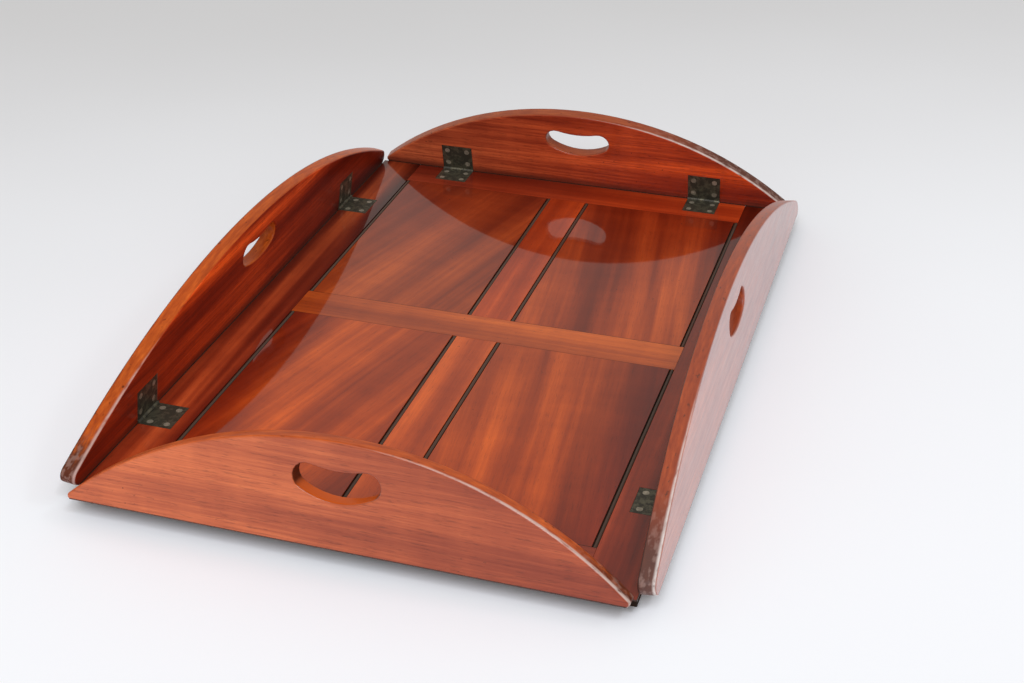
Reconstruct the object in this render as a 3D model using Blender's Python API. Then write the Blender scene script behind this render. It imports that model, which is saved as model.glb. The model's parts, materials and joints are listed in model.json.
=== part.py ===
"""Butler's tray: a framed and panelled mahogany base with four hinged, arc-topped flaps.

Metres, +Z up. The origin is the middle of the base's underside. +Y runs from the near
end to the far end, which is the length of the tray, and +X to the right.
The flaps stand up at rest, each canted in a little over the base, and each swings out
on two sprung brass hinges until it lies level with the base and the tray is an oval.
"""
import math

import bmesh
import bpy
from mathutils import Matrix, Vector

# Driving dimensions of the base
BASE_LENGTH = 0.7970
BASE_WIDTH = 0.5380
BOARD_THICK = 0.0165
STILE_WIDTH = 0.0507
NEAR_RAIL_WIDTH = 0.0600
FAR_RAIL_WIDTH = 0.0515
MIDDLE_RAIL_WIDTH = 0.0484
MUNTIN_WIDTH = 0.0450
BASE_ARRIS = 0.0003
UNDERCUT_HEIGHT = 0.0095
UNDERCUT_REACH = 0.0170

# Panels, their tongues and the grooves that hold them
PANEL_THICK = 0.0100
TONGUE_THICK = 0.0050
TONGUE_LENGTH = 0.0060
GROOVE_DEPTH = 0.0066
BEAD_RADIUS = 0.0020
QUIRK_WIDTH = 0.0010
QUIRK_DEPTH = 0.0022

# Tenons of the rails and muntins
TENON_LENGTH = 0.0220
TENON_THICK = 0.0050
TENON_SHOULDER = 0.0080
MUNTIN_TENON_LENGTH = 0.0150

# Flaps: height is measured up the flap from its hinge line, and the tip's inset from
# the base's outer edge to the flap's outermost point
END_FLAP_HEIGHT = 0.1035
END_TIP_INSET = 0.0028
END_NOSE_RADIUS = 0.0030
END_LEAN = math.radians(11.5)
SIDE_FLAP_HEIGHT = 0.1045
SIDE_TIP_INSET = 0.0025
SIDE_NOSE_RADIUS = 0.0090
SIDE_LEAN = math.radians(7.7)
FLAP_ARRIS = 0.0022

# Kidney-shaped hand-hold, with its two lobes and the dip between them
HOLD_LENGTH = 0.0820
HOLD_LOBE_RADIUS = 0.0125
HOLD_DIP = 0.0035
END_HOLD_HEIGHT = 0.0660
END_HOLD_BELLY = 0.0200
SIDE_HOLD_HEIGHT = 0.0675
SIDE_HOLD_BELLY = 0.0170

# Hinges: two leaves let in flush, three knuckles, a pin and a flat back spring. The end
# hinges are set in from the stiles, and the side hinges from the ends of the base
END_HINGE_INSET = 0.0335
SIDE_HINGE_INSET = 0.1210
LEAF_WIDTH = 0.0405
LEAF_REACH = 0.0360
LEAF_THICK = 0.0018
KNUCKLE_RADIUS = 0.0028
CENTRE_KNUCKLE = 0.0140
KNUCKLE_FLAT = 0.0024
PIN_RADIUS = 0.0012
SCREW_SPACING = 0.0265
SCREW_ROW_NEAR = 0.0100
SCREW_ROW_FAR = 0.0285
SCREW_HEAD_RADIUS = 0.0038
SCREW_HOLE_RADIUS = 0.0022
SPRING_WIDTH = 0.0120
SPRING_THICK = 0.0008
SPRING_REACH = 0.0300
SPRING_BEND = 0.0080

# Clearances
SEAT_GAP = 0.0003
EDGE_GAP = 0.0003
BARREL_GAP = 0.0004
KNUCKLE_GAP = 0.0003
PIN_GAP = 0.0003
SPRING_GAP = 0.00035
OVERRUN = 0.0050

# Counts of the facets that curves are made of
ARC_STEPS = 36
NOSE_STEPS = 8
ARRIS_STEPS = 2
LOBE_STEPS = 8
BELLY_STEPS = 8
DIP_STEPS = 6
BEAD_STEPS = 6
KNUCKLE_STEPS = 16
HOLE_STEPS = 10
BASE_ARRIS_STEPS = 2

# The least turn between two facets that shows as a corner
CORNER_TURN = math.radians(50)

# Colours as the photograph shows them: red, green, blue, roughness and metallic
FINISHES = {
    "frame": ((0.20, 0.045, 0.016), 0.28, 0.0),
    "panel": ((0.30, 0.070, 0.018), 0.26, 0.0),
    "middle": ((0.36, 0.110, 0.024), 0.28, 0.0),
    "flap": ((0.24, 0.050, 0.018), 0.26, 0.0),
    "brass": ((0.10, 0.085, 0.055), 0.42, 0.9),
    "steel": ((0.20, 0.20, 0.20), 0.40, 0.9),
}

HALF_LENGTH = BASE_LENGTH / 2
HALF_WIDTH = BASE_WIDTH / 2
STILE_INNER = HALF_WIDTH - STILE_WIDTH
END_HINGE_SPACING = 2 * (STILE_INNER - END_HINGE_INSET) - LEAF_WIDTH
SIDE_HINGE_SPACING = 2 * (HALF_LENGTH - SIDE_HINGE_INSET) - LEAF_WIDTH
INNER_NEAR = NEAR_RAIL_WIDTH - HALF_LENGTH
INNER_FAR = HALF_LENGTH - FAR_RAIL_WIDTH
MIDDLE_PLACE = (INNER_NEAR + INNER_FAR) / 2
TONGUE_TOP = BOARD_THICK - PANEL_THICK + TONGUE_THICK
GROOVE_LOW = BOARD_THICK - PANEL_THICK - SEAT_GAP
GROOVE_HIGH = TONGUE_TOP + SEAT_GAP
TENON_LOW = (GROOVE_LOW + GROOVE_HIGH - TENON_THICK) / 2

# The ends of the base: which way each lies along Y, its rail's width and its inner edge
ENDS = {
    "near": (-1, NEAR_RAIL_WIDTH, INNER_NEAR),
    "far": (1, FAR_RAIL_WIDTH, INNER_FAR),
}

# What each flap's outline is made of: height, tip, nose, hand-hold's height and belly
END_FLAP = (END_FLAP_HEIGHT, HALF_WIDTH - END_TIP_INSET, END_NOSE_RADIUS, END_HOLD_HEIGHT,
            END_HOLD_BELLY)
SIDE_FLAP = (SIDE_FLAP_HEIGHT, HALF_LENGTH - SIDE_TIP_INSET, SIDE_NOSE_RADIUS,
             SIDE_HOLD_HEIGHT, SIDE_HOLD_BELLY)

# Each flap: the turn that takes +Y outwards, the hinge line's distance, the hinges' spacing,
# the lean, the outline, and its hinges' names, first the one towards the side's own +X
SIDES = {
    "far": (0.0, HALF_LENGTH, END_HINGE_SPACING, END_LEAN, END_FLAP, ("right", "left")),
    "near": (math.pi, HALF_LENGTH, END_HINGE_SPACING, END_LEAN, END_FLAP, ("left", "right")),
    "left": (math.pi / 2, HALF_WIDTH, SIDE_HINGE_SPACING, SIDE_LEAN, SIDE_FLAP, ("far", "near")),
    "right": (-math.pi / 2, HALF_WIDTH, SIDE_HINGE_SPACING, SIDE_LEAN, SIDE_FLAP,
              ("near", "far")),
}


def clear_scene():
    """Remove what a new file starts with."""
    for thing in list(bpy.data.objects):
        bpy.data.objects.remove(thing, do_unlink=True)


def paint(thing, finish):
    """Give an object its own material."""
    colour, roughness, metallic = FINISHES[finish]
    material = bpy.data.materials.new(thing.name + "_finish")
    material.use_nodes = True
    shader = material.node_tree.nodes["Principled BSDF"]
    shader.inputs["Base Color"].default_value = (*colour, 1.0)
    shader.inputs["Roughness"].default_value = roughness
    shader.inputs["Metallic"].default_value = metallic
    thing.data.materials.clear()
    thing.data.materials.append(material)


def object_from(name, bm):
    """Turn a bmesh into an object in the scene."""
    bmesh.ops.recalc_face_normals(bm, faces=bm.faces)
    mesh = bpy.data.meshes.new(name)
    bm.to_mesh(mesh)
    bm.free()
    thing = bpy.data.objects.new(name, mesh)
    bpy.context.scene.collection.objects.link(thing)
    return thing


def box(name, low, high):
    """A box between two corners."""
    bm = bmesh.new()
    bmesh.ops.create_cube(bm, size=1.0)
    low, high = Vector(low), Vector(high)
    bmesh.ops.scale(bm, vec=high - low, verts=bm.verts)
    bmesh.ops.translate(bm, vec=(low + high) / 2, verts=bm.verts)
    return object_from(name, bm)


def prism(name, outline, start, end, place):
    """A flat outline drawn out from start to end; place(along, a, b) gives a point of it."""
    bm = bmesh.new()
    ring = [bm.verts.new(place(start, a, b)) for a, b in outline]
    face = bm.faces.new(ring)
    drawn = bmesh.ops.extrude_face_region(bm, geom=[face])
    moved = [item for item in drawn["geom"] if isinstance(item, bmesh.types.BMVert)]
    shift = Vector(place(end, 0, 0)) - Vector(place(start, 0, 0))
    bmesh.ops.translate(bm, vec=shift, verts=moved)
    return object_from(name, bm)


def rod(name, radius, length, steps):
    """A round bar along X with its middle at the origin."""
    bm = bmesh.new()
    turn = Matrix.Rotation(math.pi / 2, 4, "Y")
    bmesh.ops.create_cone(bm, cap_ends=True, segments=steps, radius1=radius, radius2=radius,
                          depth=length, matrix=turn)
    return object_from(name, bm)


def combine(target, tool, operation):
    """Cut or join one solid with another, keep the result, and put the tool away."""
    bpy.context.view_layer.update()
    change = target.modifiers.new("shape", "BOOLEAN")
    change.operation = operation
    change.solver = "EXACT"
    change.object = tool
    graph = bpy.context.evaluated_depsgraph_get()
    result = bpy.data.meshes.new_from_object(target.evaluated_get(graph))
    target.modifiers.clear()
    old = target.data
    target.data = result
    bpy.data.meshes.remove(old)
    spare = tool.data
    bpy.data.objects.remove(tool, do_unlink=True)
    bpy.data.meshes.remove(spare)


def cut(target, tool):
    combine(target, tool, "DIFFERENCE")


def side_frame(side):
    """The place of a side's hinge line: its own +X along the line and +Y outwards."""
    turn, reach = SIDES[side][:2]
    return Matrix.Rotation(turn, 4, "Z") @ Matrix.Translation((0, reach, BOARD_THICK))


def hinge_places(side):
    """Names and distances along the hinge line of a side's two hinges."""
    spacing, names = SIDES[side][2], SIDES[side][-1]
    return [(names[0], spacing / 2), (names[1], -spacing / 2)]


# Hinge profiles: a first value that runs from the axis along the leaf, and a second that
# goes from the leaf's show face into the wood.

def knuckle_outline(radius, flats):
    """A knuckle's round, pared down to flats that face the given directions."""
    points = []
    for step in range(KNUCKLE_STEPS):
        angle = 2 * math.pi * step / KNUCKLE_STEPS
        reach = radius
        for flat in flats:
            facing = math.cos(angle - flat)
            if facing > 0:
                reach = min(reach, KNUCKLE_FLAT / facing)
        points.append((reach * math.cos(angle), reach * math.sin(angle)))
    return points


def spring_contact():
    """The direction, from the leaf towards the wood, in which the back spring bears."""
    bend_depth = LEAF_THICK + SEAT_GAP
    distance = math.hypot(SPRING_BEND, bend_depth)
    clear = KNUCKLE_RADIUS + SPRING_GAP
    return math.atan2(bend_depth, SPRING_BEND) + math.acos(clear / distance)


def spring_line():
    """The upper face of the back spring: tail, bend, and the tip under the knuckle."""
    contact = spring_contact()
    clear = KNUCKLE_RADIUS + SPRING_GAP
    bend_depth = LEAF_THICK + SEAT_GAP
    tip = (clear * math.cos(contact), clear * math.sin(contact))
    return [(SPRING_REACH, bend_depth), (SPRING_BEND, bend_depth), tip]


def on_base(along, reach, depth):
    """A hinge profile's point on the base: the leaf runs inwards, the wood is below."""
    return (along, -reach, -depth)


def on_flap(along, reach, depth):
    """A hinge profile's point on a flap: the leaf runs up, the wood is outside."""
    return (along, depth, reach)


def leaf(name, flats, place, knuckle_in_centre):
    """A leaf with its knuckles, pin hole and four countersunk screw holes."""
    half = LEAF_WIDTH / 2
    inner = CENTRE_KNUCKLE / 2
    thing = prism(name, [(0, 0), (LEAF_REACH, 0), (LEAF_REACH, LEAF_THICK), (0, LEAF_THICK)],
                  -half, half, place)
    barrel = prism("barrel", knuckle_outline(KNUCKLE_RADIUS, flats), -half, half, place)
    combine(thing, barrel, "UNION")
    edge = KNUCKLE_RADIUS + KNUCKLE_GAP
    window = [(-edge, -edge), (edge, -edge), (edge, edge), (-edge, edge)]
    if knuckle_in_centre:
        cut(thing, prism("window", window, inner, half + OVERRUN, place))
        cut(thing, prism("window", window, -half - OVERRUN, -inner, place))
    else:
        opened = inner + KNUCKLE_GAP
        cut(thing, prism("window", window, -opened, opened, place))
    cut(thing, rod("bore", PIN_RADIUS + PIN_GAP, LEAF_WIDTH + OVERRUN, HOLE_STEPS))
    for across in (-SCREW_SPACING / 2, SCREW_SPACING / 2):
        for row in (SCREW_ROW_NEAR, SCREW_ROW_FAR):
            cut(thing, countersink(across, row, place))
    shade_round(thing)
    return thing


def countersink(across, row, place):
    """A tapered hole that goes right through a leaf."""
    bm = bmesh.new()
    slope = (SCREW_HEAD_RADIUS - SCREW_HOLE_RADIUS) / LEAF_THICK
    wide = SCREW_HEAD_RADIUS + slope * LEAF_THICK
    narrow = SCREW_HOLE_RADIUS - slope * LEAF_THICK / 2
    axis = Vector(place(0, 0, 1)) - Vector(place(0, 0, 0))
    turn = Vector((0, 0, 1)).rotation_difference(axis).to_matrix().to_4x4()
    middle = LEAF_THICK / 4
    spot = Matrix.Translation(place(across, row, middle))
    bmesh.ops.create_cone(bm, cap_ends=True, segments=HOLE_STEPS, radius1=wide, radius2=narrow,
                          depth=LEAF_THICK * 5 / 2, matrix=spot @ turn)
    return object_from("countersink", bm)


def make_spring(name):
    """The flat steel spring under the base leaf, bent down to the centre knuckle."""
    top = spring_line()
    under = [(reach, depth + SPRING_THICK) for reach, depth in reversed(top)]
    return prism(name, top + under, -SPRING_WIDTH / 2, SPRING_WIDTH / 2, on_base)


def leaf_recess(place):
    """The room that a leaf and the barrel take out of the wood."""
    half = LEAF_WIDTH / 2 + SEAT_GAP
    clear = KNUCKLE_RADIUS + BARREL_GAP
    depth = LEAF_THICK + SEAT_GAP
    end = LEAF_REACH + SEAT_GAP
    start = math.asin(depth / clear)
    outline = [(end, -OVERRUN), (end, depth)]
    for step in range(KNUCKLE_STEPS // 2 + 1):
        angle = start + (math.pi - start) * step / (KNUCKLE_STEPS // 2)
        outline.append((clear * math.cos(angle), clear * math.sin(angle)))
    outline.append((-clear, -OVERRUN))
    return prism("recess", outline, -half, half, place)


def spring_slot():
    """The slot under the base leaf that the back spring lies in."""
    tail, bend, tip = spring_line()
    drop = SPRING_THICK + SEAT_GAP
    half = SPRING_WIDTH / 2 + SEAT_GAP
    outline = [
        (tail[0] + SEAT_GAP, LEAF_THICK / 2),
        (tail[0] + SEAT_GAP, tail[1] + drop),
        (bend[0], bend[1] + drop),
        (tip[0], tip[1] + drop),
        (-OVERRUN, tip[1] + drop),
        (-OVERRUN, LEAF_THICK / 2),
    ]
    return prism("slot", outline, -half, half, on_base)


def let_in_hinges(thing, side):
    """Sink a side's two hinges into the board that carries them."""
    frame = side_frame(side)
    for _, along in hinge_places(side):
        for tool in (leaf_recess(on_base), spring_slot()):
            tool.data.transform(frame @ Matrix.Translation((along, 0, 0)))
            cut(thing, tool)


def undercut(thing, side):
    """Plane the underside away towards a side's edge, so that the base looks thin."""
    slope = UNDERCUT_HEIGHT / UNDERCUT_REACH
    below = BOARD_THICK + OVERRUN
    outline = [
        (-OVERRUN, BOARD_THICK - UNDERCUT_HEIGHT - slope * OVERRUN),
        (UNDERCUT_REACH + OVERRUN / slope, below),
        (-OVERRUN, below),
    ]
    tool = prism("undercut", outline, -BASE_LENGTH, BASE_LENGTH, on_base)
    tool.data.transform(side_frame(side))
    cut(thing, tool)


def board(name, low, high, outer_edge=None):
    """A board of the base; outer_edge is the axis whose outermost top edge is eased."""
    bm = bmesh.new()
    bmesh.ops.create_cube(bm, size=1.0)
    low, high = Vector(low), Vector(high)
    bmesh.ops.scale(bm, vec=high - low, verts=bm.verts)
    bmesh.ops.translate(bm, vec=(low + high) / 2, verts=bm.verts)
    if outer_edge is not None:
        outermost = max(abs(low[outer_edge]), abs(high[outer_edge]))
        near_enough = BASE_ARRIS / 2
        eased = [
            edge for edge in bm.edges
            if all(abs(abs(v.co[outer_edge]) - outermost) < near_enough
                   and abs(v.co.z - BOARD_THICK) < near_enough for v in edge.verts)
        ]
        bmesh.ops.bevel(bm, geom=eased, offset=BASE_ARRIS, offset_type="OFFSET", affect="EDGES",
                        segments=BASE_ARRIS_STEPS, profile=0.5, material=-1)
    return object_from(name, bm)


def cut_box(thing, low, high):
    cut(thing, box("waste", low, high))


def ordered(a, b):
    return (a, b) if a < b else (b, a)


def cut_groove(thing, axis, face, inwards, start, end):
    """Plough a panel groove into the face of a board that lies at face along the axis."""
    across = ordered(face - inwards * OVERRUN, face + inwards * GROOVE_DEPTH)
    low, high = [0, 0, GROOVE_LOW], [0, 0, GROOVE_HIGH]
    low[axis], high[axis] = across
    low[1 - axis], high[1 - axis] = start, end
    cut_box(thing, low, high)


def cut_mortise(thing, axis, face, inwards, middle, width, length):
    """Chop a mortise for a tenon of the given width and length."""
    half = width / 2 + SEAT_GAP
    across = ordered(face - inwards * OVERRUN, face + inwards * (length + SEAT_GAP))
    low = [0, 0, TENON_LOW - SEAT_GAP]
    high = [0, 0, TENON_LOW + TENON_THICK + SEAT_GAP]
    low[axis], high[axis] = across
    low[1 - axis], high[1 - axis] = middle - half, middle + half
    cut_box(thing, low, high)


def add_tenon(thing, axis, shoulder, outwards, middle, width, length):
    """Leave a tenon standing on the end of a board."""
    across = ordered(shoulder - outwards * OVERRUN, shoulder + outwards * length)
    low = [0, 0, TENON_LOW]
    high = [0, 0, TENON_LOW + TENON_THICK]
    low[axis], high[axis] = across
    low[1 - axis], high[1 - axis] = middle - width / 2, middle + width / 2
    combine(thing, box("tenon", low, high), "UNION")


def end_tenon(end):
    """The middle and the width of an end rail's tenon, clear of its groove and the undercut."""
    sign, rail_width, inner = ENDS[end]
    width = rail_width - GROOVE_DEPTH - TENON_SHOULDER - UNDERCUT_REACH
    return inner + sign * (GROOVE_DEPTH + TENON_SHOULDER + width / 2), width


def make_stile(side, sign):
    """A long side board of the base, full length, that the rails are tenoned into."""
    outer = sign * HALF_WIDTH
    inner = sign * STILE_INNER
    x_low, x_high = ordered(outer, inner)
    name = "stile_" + side
    thing = board(name, (x_low, -HALF_LENGTH, 0), (x_high, HALF_LENGTH, BOARD_THICK), 0)
    cut_groove(thing, 0, inner, sign, INNER_NEAR - GROOVE_DEPTH, INNER_FAR + GROOVE_DEPTH)
    middle_tenon = MIDDLE_RAIL_WIDTH - 2 * TENON_SHOULDER
    cut_mortise(thing, 0, inner, sign, MIDDLE_PLACE, middle_tenon, TENON_LENGTH)
    for end in ENDS:
        cut_mortise(thing, 0, inner, sign, *end_tenon(end), TENON_LENGTH)
    for edge in (side, *ENDS):
        undercut(thing, edge)
    let_in_hinges(thing, side)
    paint(thing, "frame")


def make_end_rail(end):
    """An end board of the base, tenoned between the stiles."""
    sign, _, inner = ENDS[end]
    y_low, y_high = ordered(sign * HALF_LENGTH, inner)
    shoulder = STILE_INNER - SEAT_GAP
    name = "rail_" + end
    thing = board(name, (-shoulder, y_low, 0), (shoulder, y_high, BOARD_THICK), 1)
    for side in (-1, 1):
        add_tenon(thing, 0, side * shoulder, side, *end_tenon(end), TENON_LENGTH)
    cut_groove(thing, 1, inner, sign, -STILE_INNER - OVERRUN, STILE_INNER + OVERRUN)
    cut_mortise(thing, 1, inner, sign, 0, MUNTIN_WIDTH - 2 * TENON_SHOULDER, MUNTIN_TENON_LENGTH)
    undercut(thing, end)
    let_in_hinges(thing, end)
    paint(thing, "frame")


def make_middle_rail():
    """The rail that crosses the base midway between the end rails, tenoned into the stiles."""
    shoulder = STILE_INNER - SEAT_GAP
    edges = (MIDDLE_PLACE - MIDDLE_RAIL_WIDTH / 2, MIDDLE_PLACE + MIDDLE_RAIL_WIDTH / 2)
    thing = board("rail_middle", (-shoulder, edges[0], 0), (shoulder, edges[1], BOARD_THICK))
    tenon_width = MIDDLE_RAIL_WIDTH - 2 * TENON_SHOULDER
    for side in (-1, 1):
        add_tenon(thing, 0, side * shoulder, side, MIDDLE_PLACE, tenon_width, TENON_LENGTH)
    for edge, inwards in zip(edges, (1, -1)):
        cut_groove(thing, 1, edge, inwards, -STILE_INNER - OVERRUN, STILE_INNER + OVERRUN)
        cut_mortise(thing, 1, edge, inwards, 0, MUNTIN_WIDTH - 2 * TENON_SHOULDER,
                    MUNTIN_TENON_LENGTH)
    paint(thing, "middle")


def bay(end):
    """Where the space between the middle rail and an end rail starts and stops along Y."""
    sign, _, inner = ENDS[end]
    start = MIDDLE_PLACE + sign * (MIDDLE_RAIL_WIDTH / 2 + SEAT_GAP)
    return ordered(start, inner - sign * SEAT_GAP)


def make_muntin(end):
    """The short member between a pair of panels, tenoned into the rails."""
    half = MUNTIN_WIDTH / 2
    y_low, y_high = bay(end)
    name = "muntin_" + end
    thing = board(name, (-half, y_low, 0), (half, y_high, BOARD_THICK))
    for shoulder, outwards in ((y_low, -1), (y_high, 1)):
        add_tenon(thing, 1, shoulder, outwards, 0, MUNTIN_WIDTH - 2 * TENON_SHOULDER,
                  MUNTIN_TENON_LENGTH)
    for side in (-1, 1):
        cut_groove(thing, 0, side * half, -side, y_low - OVERRUN, y_high + OVERRUN)
    paint(thing, "frame")


def beaded_outline(x_low, x_high):
    """A panel's section: flat on top, with a small bead and its quirk along each long edge."""
    bottom = BOARD_THICK - PANEL_THICK + TONGUE_THICK / 2
    left, right = [], []
    for step in range(BEAD_STEPS + 1):
        angle = math.pi * step / BEAD_STEPS
        across = BEAD_RADIUS * (1 - math.cos(angle))
        height = BOARD_THICK - BEAD_RADIUS + BEAD_RADIUS * math.sin(angle)
        left.append((x_low + across, height))
        right.append((x_high - across, height))
    foot = 2 * BEAD_RADIUS
    floor = BOARD_THICK - QUIRK_DEPTH
    for edge, direction, points in ((x_low, 1, left), (x_high, -1, right)):
        points.append((edge + direction * foot, floor))
        points.append((edge + direction * (foot + QUIRK_WIDTH), floor))
        points.append((edge + direction * (foot + QUIRK_WIDTH), BOARD_THICK))
    return [(x_low, bottom)] + left + right[::-1] + [(x_high, bottom)]


def along_y(along, a, b):
    return (a, along, b)


def make_panel(end, side, side_sign):
    """A flush panel, beaded along the grain and butted across it, tongued all round."""
    x_low, x_high = ordered(side_sign * (MUNTIN_WIDTH / 2 + SEAT_GAP),
                            side_sign * (STILE_INNER - SEAT_GAP))
    y_low, y_high = bay(end)
    name = "panel_" + end + "_" + side
    low = (x_low - TONGUE_LENGTH, y_low - TONGUE_LENGTH, BOARD_THICK - PANEL_THICK)
    high = (x_high + TONGUE_LENGTH, y_high + TONGUE_LENGTH, TONGUE_TOP)
    thing = box(name, low, high)
    field = prism("field", beaded_outline(x_low, x_high), y_low, y_high, along_y)
    combine(thing, field, "UNION")
    shade_round(thing)
    paint(thing, "panel")


def arc(centre, radius, start, end, steps):
    """Points of an arc, its first point left out."""
    points = []
    for step in range(1, steps + 1):
        angle = start + (end - start) * step / steps
        points.append((centre[0] + radius * math.cos(angle), centre[1] + radius * math.sin(angle)))
    return points


def flap_outline(height, tip, nose, inset):
    """The flap's outline, drawn in by inset all but its straight foot: noses and the arc."""
    nose_height = EDGE_GAP + nose
    nose_out = tip - nose
    climb = height - nose_height
    radius = (nose_out ** 2 + climb ** 2 - nose ** 2) / (2 * (climb - nose))
    rise = height - radius
    meet = math.atan2(nose_height - rise, nose_out)
    small = nose - inset
    points = [(nose_out, nose_height - small)]
    points += arc((nose_out, nose_height), small, -math.pi / 2, meet, NOSE_STEPS)
    points += arc((0, rise), radius - inset, meet, math.pi - meet, ARC_STEPS)
    points += arc((-nose_out, nose_height), small, math.pi - meet, 3 * math.pi / 2, NOSE_STEPS)
    stretch = nose / small
    return [(along, min(up, nose_height + (up - nose_height) * stretch)) for along, up in points]


def hold_outline(level, drop, growth):
    """The hand-hold's outline, let out by growth: two lobes, a belly and a dip."""
    out = HOLD_LENGTH / 2 - HOLD_LOBE_RADIUS
    lobe = HOLD_LOBE_RADIUS
    belly = (out ** 2 + drop ** 2 - lobe ** 2) / (2 * (drop - lobe))
    belly_centre = level - drop + belly
    rise = lobe - HOLD_DIP
    dip = (out ** 2 + rise ** 2 - lobe ** 2) / (2 * (lobe - rise))
    dip_centre = level + rise + dip
    low = math.atan2(level - belly_centre, out)
    high = math.atan2(dip_centre - level, -out)
    grown = lobe + growth
    points = arc((out, level), grown, low, high, LOBE_STEPS)
    points += arc((0, dip_centre), dip - growth, high - math.pi, -high, DIP_STEPS)
    points += arc((-out, level), grown, math.pi - high, math.pi - low, LOBE_STEPS)
    points += arc((0, belly_centre), belly + growth, -math.pi - low, low, BELLY_STEPS)
    return points


def arris_levels():
    """Depths into the board and insets of the outline that make both arrises round."""
    levels = []
    for step in range(ARRIS_STEPS + 1):
        angle = math.pi / 2 * step / ARRIS_STEPS
        levels.append((FLAP_ARRIS * (1 - math.cos(angle)), FLAP_ARRIS * (1 - math.sin(angle))))
    back = [(BOARD_THICK - depth, inset) for depth, inset in reversed(levels)]
    return levels + back


def ring(bm, outline, depth):
    """A closed ring of edges at one depth of the flap."""
    verts = [bm.verts.new((along, depth, up)) for along, up in outline]
    return [bm.edges.new((verts[i - 1], verts[i])) for i in range(len(verts))]


def make_flap(side):
    """An arc-topped flap with rounded arrises and a kidney-shaped hand-hold."""
    height, tip, nose, hold_level, hold_drop = SIDES[side][4]
    bm = bmesh.new()
    outer, inner = [], []
    for depth, inset in arris_levels():
        outer.append(ring(bm, flap_outline(height, tip, nose, inset), depth))
        inner.append(ring(bm, hold_outline(hold_level, hold_drop, inset), depth))
    for rings in (outer, inner):
        for first, second in zip(rings, rings[1:]):
            bmesh.ops.bridge_loops(bm, edges=first + second)
    for level in (0, -1):
        bmesh.ops.triangle_fill(bm, use_beauty=True, edges=outer[level] + inner[level])
    thing = object_from("flap_" + side, bm)
    for _, along in hinge_places(side):
        tool = leaf_recess(on_flap)
        tool.data.transform(Matrix.Translation((along, 0, 0)))
        cut(thing, tool)
    shade_round(thing)
    paint(thing, "flap")
    return thing


def flap_axis(side):
    """An empty on a side's hinge line that carries all that swings with the flap."""
    empty = bpy.data.objects.new("axis_" + side, None)
    bpy.context.scene.collection.objects.link(empty)
    empty.matrix_world = side_frame(side) @ Matrix.Rotation(SIDES[side][3], 4, "X")
    return empty


def copy_of(source, name, finish):
    """Another object with the same mesh shape and a material of its own."""
    thing = bpy.data.objects.new(name, source.data.copy())
    bpy.context.scene.collection.objects.link(thing)
    paint(thing, finish)
    return thing


def shade_round(thing):
    """Shade a round piece smooth but keep its true corners."""
    thing.data.shade_smooth()
    thing.data.set_sharp_from_angle(angle=CORNER_TURN)


def knuckle_flats(lean):
    """Which ways the centre knuckle's two flats face: one for standing, one for level."""
    contact = spring_contact()
    return (lean - math.pi / 2 - contact, math.pi - contact)


def make_hinges(axes):
    """Eight hinges, two to a flap, from patterns of their pieces."""
    base_leaf = leaf("base_leaf_pattern", (), on_base, False)
    pin = rod("pin_pattern", PIN_RADIUS, LEAF_WIDTH, HOLE_STEPS)
    shade_round(pin)
    spring = make_spring("spring_pattern")
    patterns = [base_leaf, pin, spring]
    swinging = {}
    for lean in (END_LEAN, SIDE_LEAN):
        swinging[lean] = leaf("flap_leaf_pattern", knuckle_flats(lean), on_flap, True)
        patterns.append(swinging[lean])
    for side in SIDES:
        for where, along in hinge_places(side):
            name = "hinge_" + side + "_" + where
            spot = side_frame(side) @ Matrix.Translation((along, 0, 0))
            copy_of(base_leaf, name + "_base_leaf", "brass").matrix_world = spot
            copy_of(pin, name + "_pin", "brass").matrix_world = spot
            copy_of(spring, name + "_spring", "steel").matrix_world = spot
            flap_leaf = copy_of(swinging[SIDES[side][3]], name + "_flap_leaf", "brass")
            flap_leaf.parent = axes[side]
            flap_leaf.location = (along, 0, 0)
    for pattern in patterns:
        bpy.data.objects.remove(pattern, do_unlink=True)


def build_tray():
    clear_scene()
    hands = {"left": -1, "right": 1}
    for side, sign in hands.items():
        make_stile(side, sign)
    for end in ENDS:
        make_end_rail(end)
        make_muntin(end)
        for side, sign in hands.items():
            make_panel(end, side, sign)
    make_middle_rail()
    axes = {side: flap_axis(side) for side in SIDES}
    for side, axis in axes.items():
        make_flap(side).parent = axis
    make_hinges(axes)
    bpy.context.view_layer.update()


build_tray()
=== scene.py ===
# %% [markdown]
# # A butler's tray in mahogany
#
# The tray comes ready made: a framed and panelled base, four arc-topped flaps and eight
# sprung hinges, packed as a fixed frame. This lesson gives it its looks. It smooths the
# pieces whose curves catch the light, adds the screws that are too small for the frame, and
# paints old French-polished mahogany, patinated brass and worn steel with nodes alone.
#
# The frame is loaded first, because every piece below takes its place from it.

# %% Load the packed tray
import json
import math

import bmesh
import bpy
from mathutils import Matrix, Vector

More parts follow.
